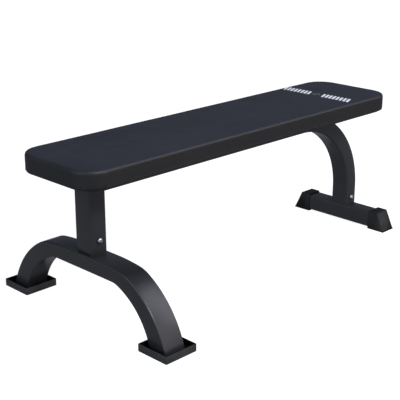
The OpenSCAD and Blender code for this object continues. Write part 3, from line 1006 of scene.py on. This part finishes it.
def weld_bead(work, start, end, side_a, side_b, leg, fullness=1.0):
    """A rippled fillet of weld from start to end, between two walls at right angles.

    The fullness is 1 for a round bead, and higher for one that fills the corner out to a square.
    """
    length = (end - start).length
    along = (end - start) / length
    count = max(LEAST_RINGS, int(length / WELD_PITCH * RINGS_A_RIPPLE))
    rings = []
    for i in range(count + 1):
        s = length * i / count
        ripple = abs(math.sin(math.pi * s / WELD_PITCH))
        ends = min(1.0, s / leg, (length - s) / leg)
        size = leg * (0.86 + 0.14 * ripple) * (0.45 + 0.55 * math.sqrt(max(ends, 0.0)))
        ring = [start + along * s]
        for k in range(WELD_STEPS + 1):
            a = math.radians(90 * k / WELD_STEPS)
            corner = (math.cos(a) ** (2 * fullness) + math.sin(a) ** (2 * fullness)) ** (-0.5 / fullness)
            bulge = (0.80 + 0.20 * abs(math.cos(2 * a))) * corner
            lag = along * (0.5 * WELD_PITCH * math.sin(2 * a))
            point = side_a * math.cos(a) + side_b * math.sin(a)
            ring.append(start + along * s + point * size * bulge + lag * min(1.0, ends))
        rings.append(ring)
    made = loft(work, rings)
    work.faces.new(made[0])
    work.faces.new(made[-1][::-1])


def make_welds(material):
    """The frame's weld beads, as one piece."""
    work = bmesh.new()
    tuck = WELD_TUCK
    half_w = (spine_high.y - spine_low.y) / 2
    under = spine_high.z - SPINE_DEPTH
    face_x = post_high.x
    # spine to post: below the spine, and up both sides
    weld_bead(
        work, Vector((face_x - tuck, -half_w + TUBE_ROUND, under + tuck)),
        Vector((face_x - tuck, half_w - TUBE_ROUND, under + tuck)), ALONG, -UP, UNDER_LEG)
    for g in (-1, 1):
        y = g * (half_w - tuck)
        weld_bead(
            work, Vector((face_x - BEAD_SHORT, y, under + TUBE_ROUND)),
            Vector((face_x - BEAD_SHORT, y, spine_high.z - TUBE_ROUND)), ALONG, ACROSS * g, SIDE_LEG)
    # stub tube to arch, inside the foot of the post
    stub_low, stub_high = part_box("front_spigot")
    for g in (-1, 1):
        y = stub_high.y * g - tuck * g
        x = POST_X + (stub_high.x - POST_X) * g - tuck * g
        z = stub_low.z - tuck
        in_x = stub_high.x - POST_X - STUB_SHORT
        in_y = stub_high.y - STUB_SHORT
        weld_bead(
            work, Vector((POST_X - in_x, y, z)), Vector((POST_X + in_x, y, z)),
            ACROSS * g, UP, STUB_SIDE_LEG, fullness=4)
        weld_bead(work, Vector((x, -in_y, z)), Vector((x, in_y, z)), ALONG * g, UP, STUB_END_LEG)
    # brackets to the spine's sides
    for end in ("front", "rear"):
        for hand, g in (("left", 1), ("right", -1)):
            low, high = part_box("pad_bracket_%s_%s" % (end, hand))
            y = g * (half_w - tuck)
            first = Vector((low.x + BEAD_SHORT, y, low.z + tuck))
            last = Vector((high.x - BEAD_SHORT, y, low.z + tuck))
            weld_bead(work, first, last, ACROSS * g, -UP, BRACKET_LEG)
    piece = new_object("welds", mesh_of(work, "welds"), material, smooth_below=80)
    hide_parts("weld_beads")


# ---------- trays under the arch ----------

CUP_CORNER = 3 * MM
CUP_HOLE = 2.7 * MM     # radius of the screw hole
CUP_SINK = 5.5 * MM     # radius of its countersink
CUP_SINK_DEEP = 2.8 * MM
CUP_SEAT = 8 * MM

# Grooves in the sole, in millimetres from the outside
SOLE_GROOVES = 3
SOLE_FIRST = 3.4
SOLE_PITCH = 6.6


def make_cup(name, node, material, inside):
    """Square tray: rounded rim, filleted floor, screw hole and ribbed sole, with painted shade inside."""
    low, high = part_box(node)
    mid_x, mid_y = (low.x + high.x) / 2, (low.y + high.y) / 2
    side = high.x - low.x
    tall = high.z / MM
    # the walls and the sole, as pairs of distance in from the outside and height, in millimetres
    profile = [
        (0.9, 0.0), (0.3, 0.25), (0.0, 0.9), (0.0, 3.6), (0.35, 4.0), (0.35, 4.6), (0.0, 5.0),
        (0.0, tall - 0.9), (0.28, tall - 0.25), (0.9, tall),
        (2.1, tall), (2.75, tall - 0.25), (3.0, tall - 0.9),
        (3.15, 6.2), (3.6, 4.9), (4.9, 4.0),
    ]
    sole = []
    for k in range(SOLE_GROOVES):
        at = SOLE_FIRST + k * SOLE_PITCH
        sole += [(at, 0.0), (at + 0.4, 0.9), (at + 2.8, 0.9), (at + 3.2, 0.0)]

    def ring(inset, z):
        wide = side - 2 * inset * MM
        return [
            (mid_x + x, mid_y + y, z * MM)
            for x, y in rounded_ring(wide, wide, CUP_CORNER - inset * MM * 0.6)
        ]

    def circle(radius, z):
        """A ring whose corners take up nearly all of it, so that its points line up with the others'."""
        return [
            (mid_x + x, mid_y + y, z)
            for x, y in rounded_ring(2 * radius, 2 * radius, radius * 0.999)
        ]

    rings = [circle(CUP_HOLE, CUP_BASE), circle(CUP_HOLE, CUP_SINK_DEEP), circle(CUP_SINK, 0.0)]
    rings += [ring(d, z) for d, z in reversed(sole)]
    rings += [ring(d, z) for d, z in profile]
    rings += [circle(CUP_SEAT, CUP_BASE)]
    work = bmesh.new()
    loft(work, rings, closed=True)
    # Painted shade: the faces inside the tray take the near-black second material.
    reach = side / 2 - 0.9 * CUP_WALL
    for face in work.faces:
        x, y, z = face.calc_center_median()
        if max(abs(x - mid_x), abs(y - mid_y)) < reach and z > 0.9 * CUP_BASE:
            face.material_index = 1
    piece = new_object(name, mesh_of(work, name), material, smooth_below=40)
    piece.data.materials.append(inside)
    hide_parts(node)


# ---------- the rest ----------


def paint(names, material):
    """Gives CAD nodes that stay as they are their finish."""
    for name in names:
        slots = NODES[name].data.materials
        slots.clear()
        slots.append(material)


make_camera()
make_floor()
make_light()

VINYL = vinyl()
COAT = powder_coat()
WELD = weld_coat()
RUBBER = rubber("rubber", 0.0155)
CAP_RUBBER = rubber("cap_rubber", 0.0044, 0.56, 0.24)
# A near-black rubber used as painted shade: on the caps' lips, mouths and edges, and inside the trays.
PAINTED_SHADE_RUBBER = rubber("painted_shade_rubber", 0.0014, 0.85, 0.05)
MOULDED = moulded()
ZINC = zinc()
BLACK_OXIDE = washer_black()

pad = make_pad(VINYL)
make_print(pad, print_ink(), print_ink_grey())
make_spine(COAT)
make_post(COAT)
make_stabiliser(COAT)
make_arch(COAT)
make_welds(WELD)
for hand in ("left", "right"):
    make_cup("tray_" + hand, "front_cup_" + hand, RUBBER, PAINTED_SHADE_RUBBER)
    make_cap("end_cap_" + hand, "rear_cap_" + hand, CAP_RUBBER, PAINTED_SHADE_RUBBER)
    for end in ("front", "rear"):
        place = "%s_%s" % (end, hand)
        refine("bracket_" + place, "pad_bracket_" + place, COAT, 0.7 * MM)
refine("bolt_front", "front_foot_bolt", ZINC, 0.25 * MM)
refine("bolt_rear", "rear_foot_bolt", ZINC, 0.25 * MM)
refine("bolt_washers", "foot_bolt_washers", BLACK_OXIDE, 0.3 * MM)
refine("bolt_nuts", "foot_bolt_nuts", ZINC, 0.4 * MM)
refine("pad_screws", "pad_bolts", ZINC, 0.35 * MM)
refine("pad_screw_washers", "pad_bolt_washers", ZINC, 0.3 * MM)
refine("staples", "cover_staples", ZINC, 0.2 * MM)
refine("post_plug", "post_top_plug", MOULDED, 0.4 * MM)

paint(["pad_board"], plywood())
paint(["pad_backing"], backing_cloth())
paint(["tee_nuts", "cup_screws"], ZINC)
paint(["arch_plug_left", "arch_plug_right"], MOULDED)
paint(["front_spigot", "rear_spigot"], COAT)
